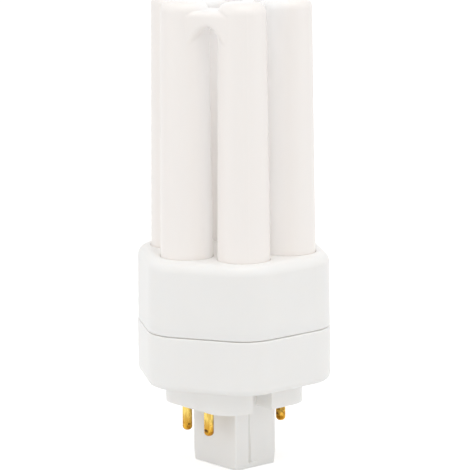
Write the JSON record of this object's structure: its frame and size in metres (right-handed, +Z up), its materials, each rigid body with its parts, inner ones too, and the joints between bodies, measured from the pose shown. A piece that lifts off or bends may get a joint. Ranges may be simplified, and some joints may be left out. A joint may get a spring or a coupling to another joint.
{
  "type": "led plug-in lamp",
  "caption": "Plug-in LED lamp with opal twin tubes on a rounded hexagon housing and a keyed plug with brass pins.",
  "frame": {"origin": "middle of the plug's pin rectangle, on the seat face of the collar", "axes": "+Z up along the tubes, away from the plug; +X along the long spacing of the pins; +Y along the short one"},
  "size_m": [0.0476, 0.0438, 0.1128],
  "materials": {
    "opal_tube": "satin opal polycarbonate",
    "housing_white": "smooth moulded white",
    "pin_brass": "turned, bright",
    "strip_board": "white solder mask with yellow phosphor chips",
    "plate_aluminium": "milled, satin",
    "screw_steel": "zinc plated",
    "board_green": "green solder mask",
    "capacitor_sleeve": "shrunk film sleeve",
    "ferrite": "sintered, dull",
    "coil_tape": "taped winding",
    "film_box": "potted box",
    "black_package": "moulded epoxy",
    "fuse_body": "moulded",
    "lead_insulation": "extruded"
  },
  "bodies": {
    "root": {"twin_tube_a": "opal_tube", "twin_tube_b": "opal_tube", "twin_tube_c": "opal_tube", "upper_housing": "housing_white", "lower_housing": "housing_white", "contact_pin_1": "pin_brass", "contact_pin_2": "pin_brass", "contact_pin_3": "pin_brass", "contact_pin_4": "pin_brass", "led_strip_1": "strip_board", "led_strip_2": "strip_board", "led_strip_3": "strip_board", "led_strip_4": "strip_board", "led_strip_5": "strip_board", "led_strip_6": "strip_board", "carrier_plate": "plate_aluminium", "carrier_screw": "screw_steel", "driver_board": "board_green", "board_screw_1": "screw_steel", "board_screw_2": "screw_steel", "bulk_capacitor": "capacitor_sleeve", "transformer_core": "ferrite", "transformer_winding": "coil_tape", "film_capacitor": "film_box", "bridge_rectifier": "black_package", "choke": "ferrite", "fuse": "fuse_body", "control_chip": "black_package", "led_lead_1": "lead_insulation", "led_lead_2": "lead_insulation"}
  },
  "joints": []
}
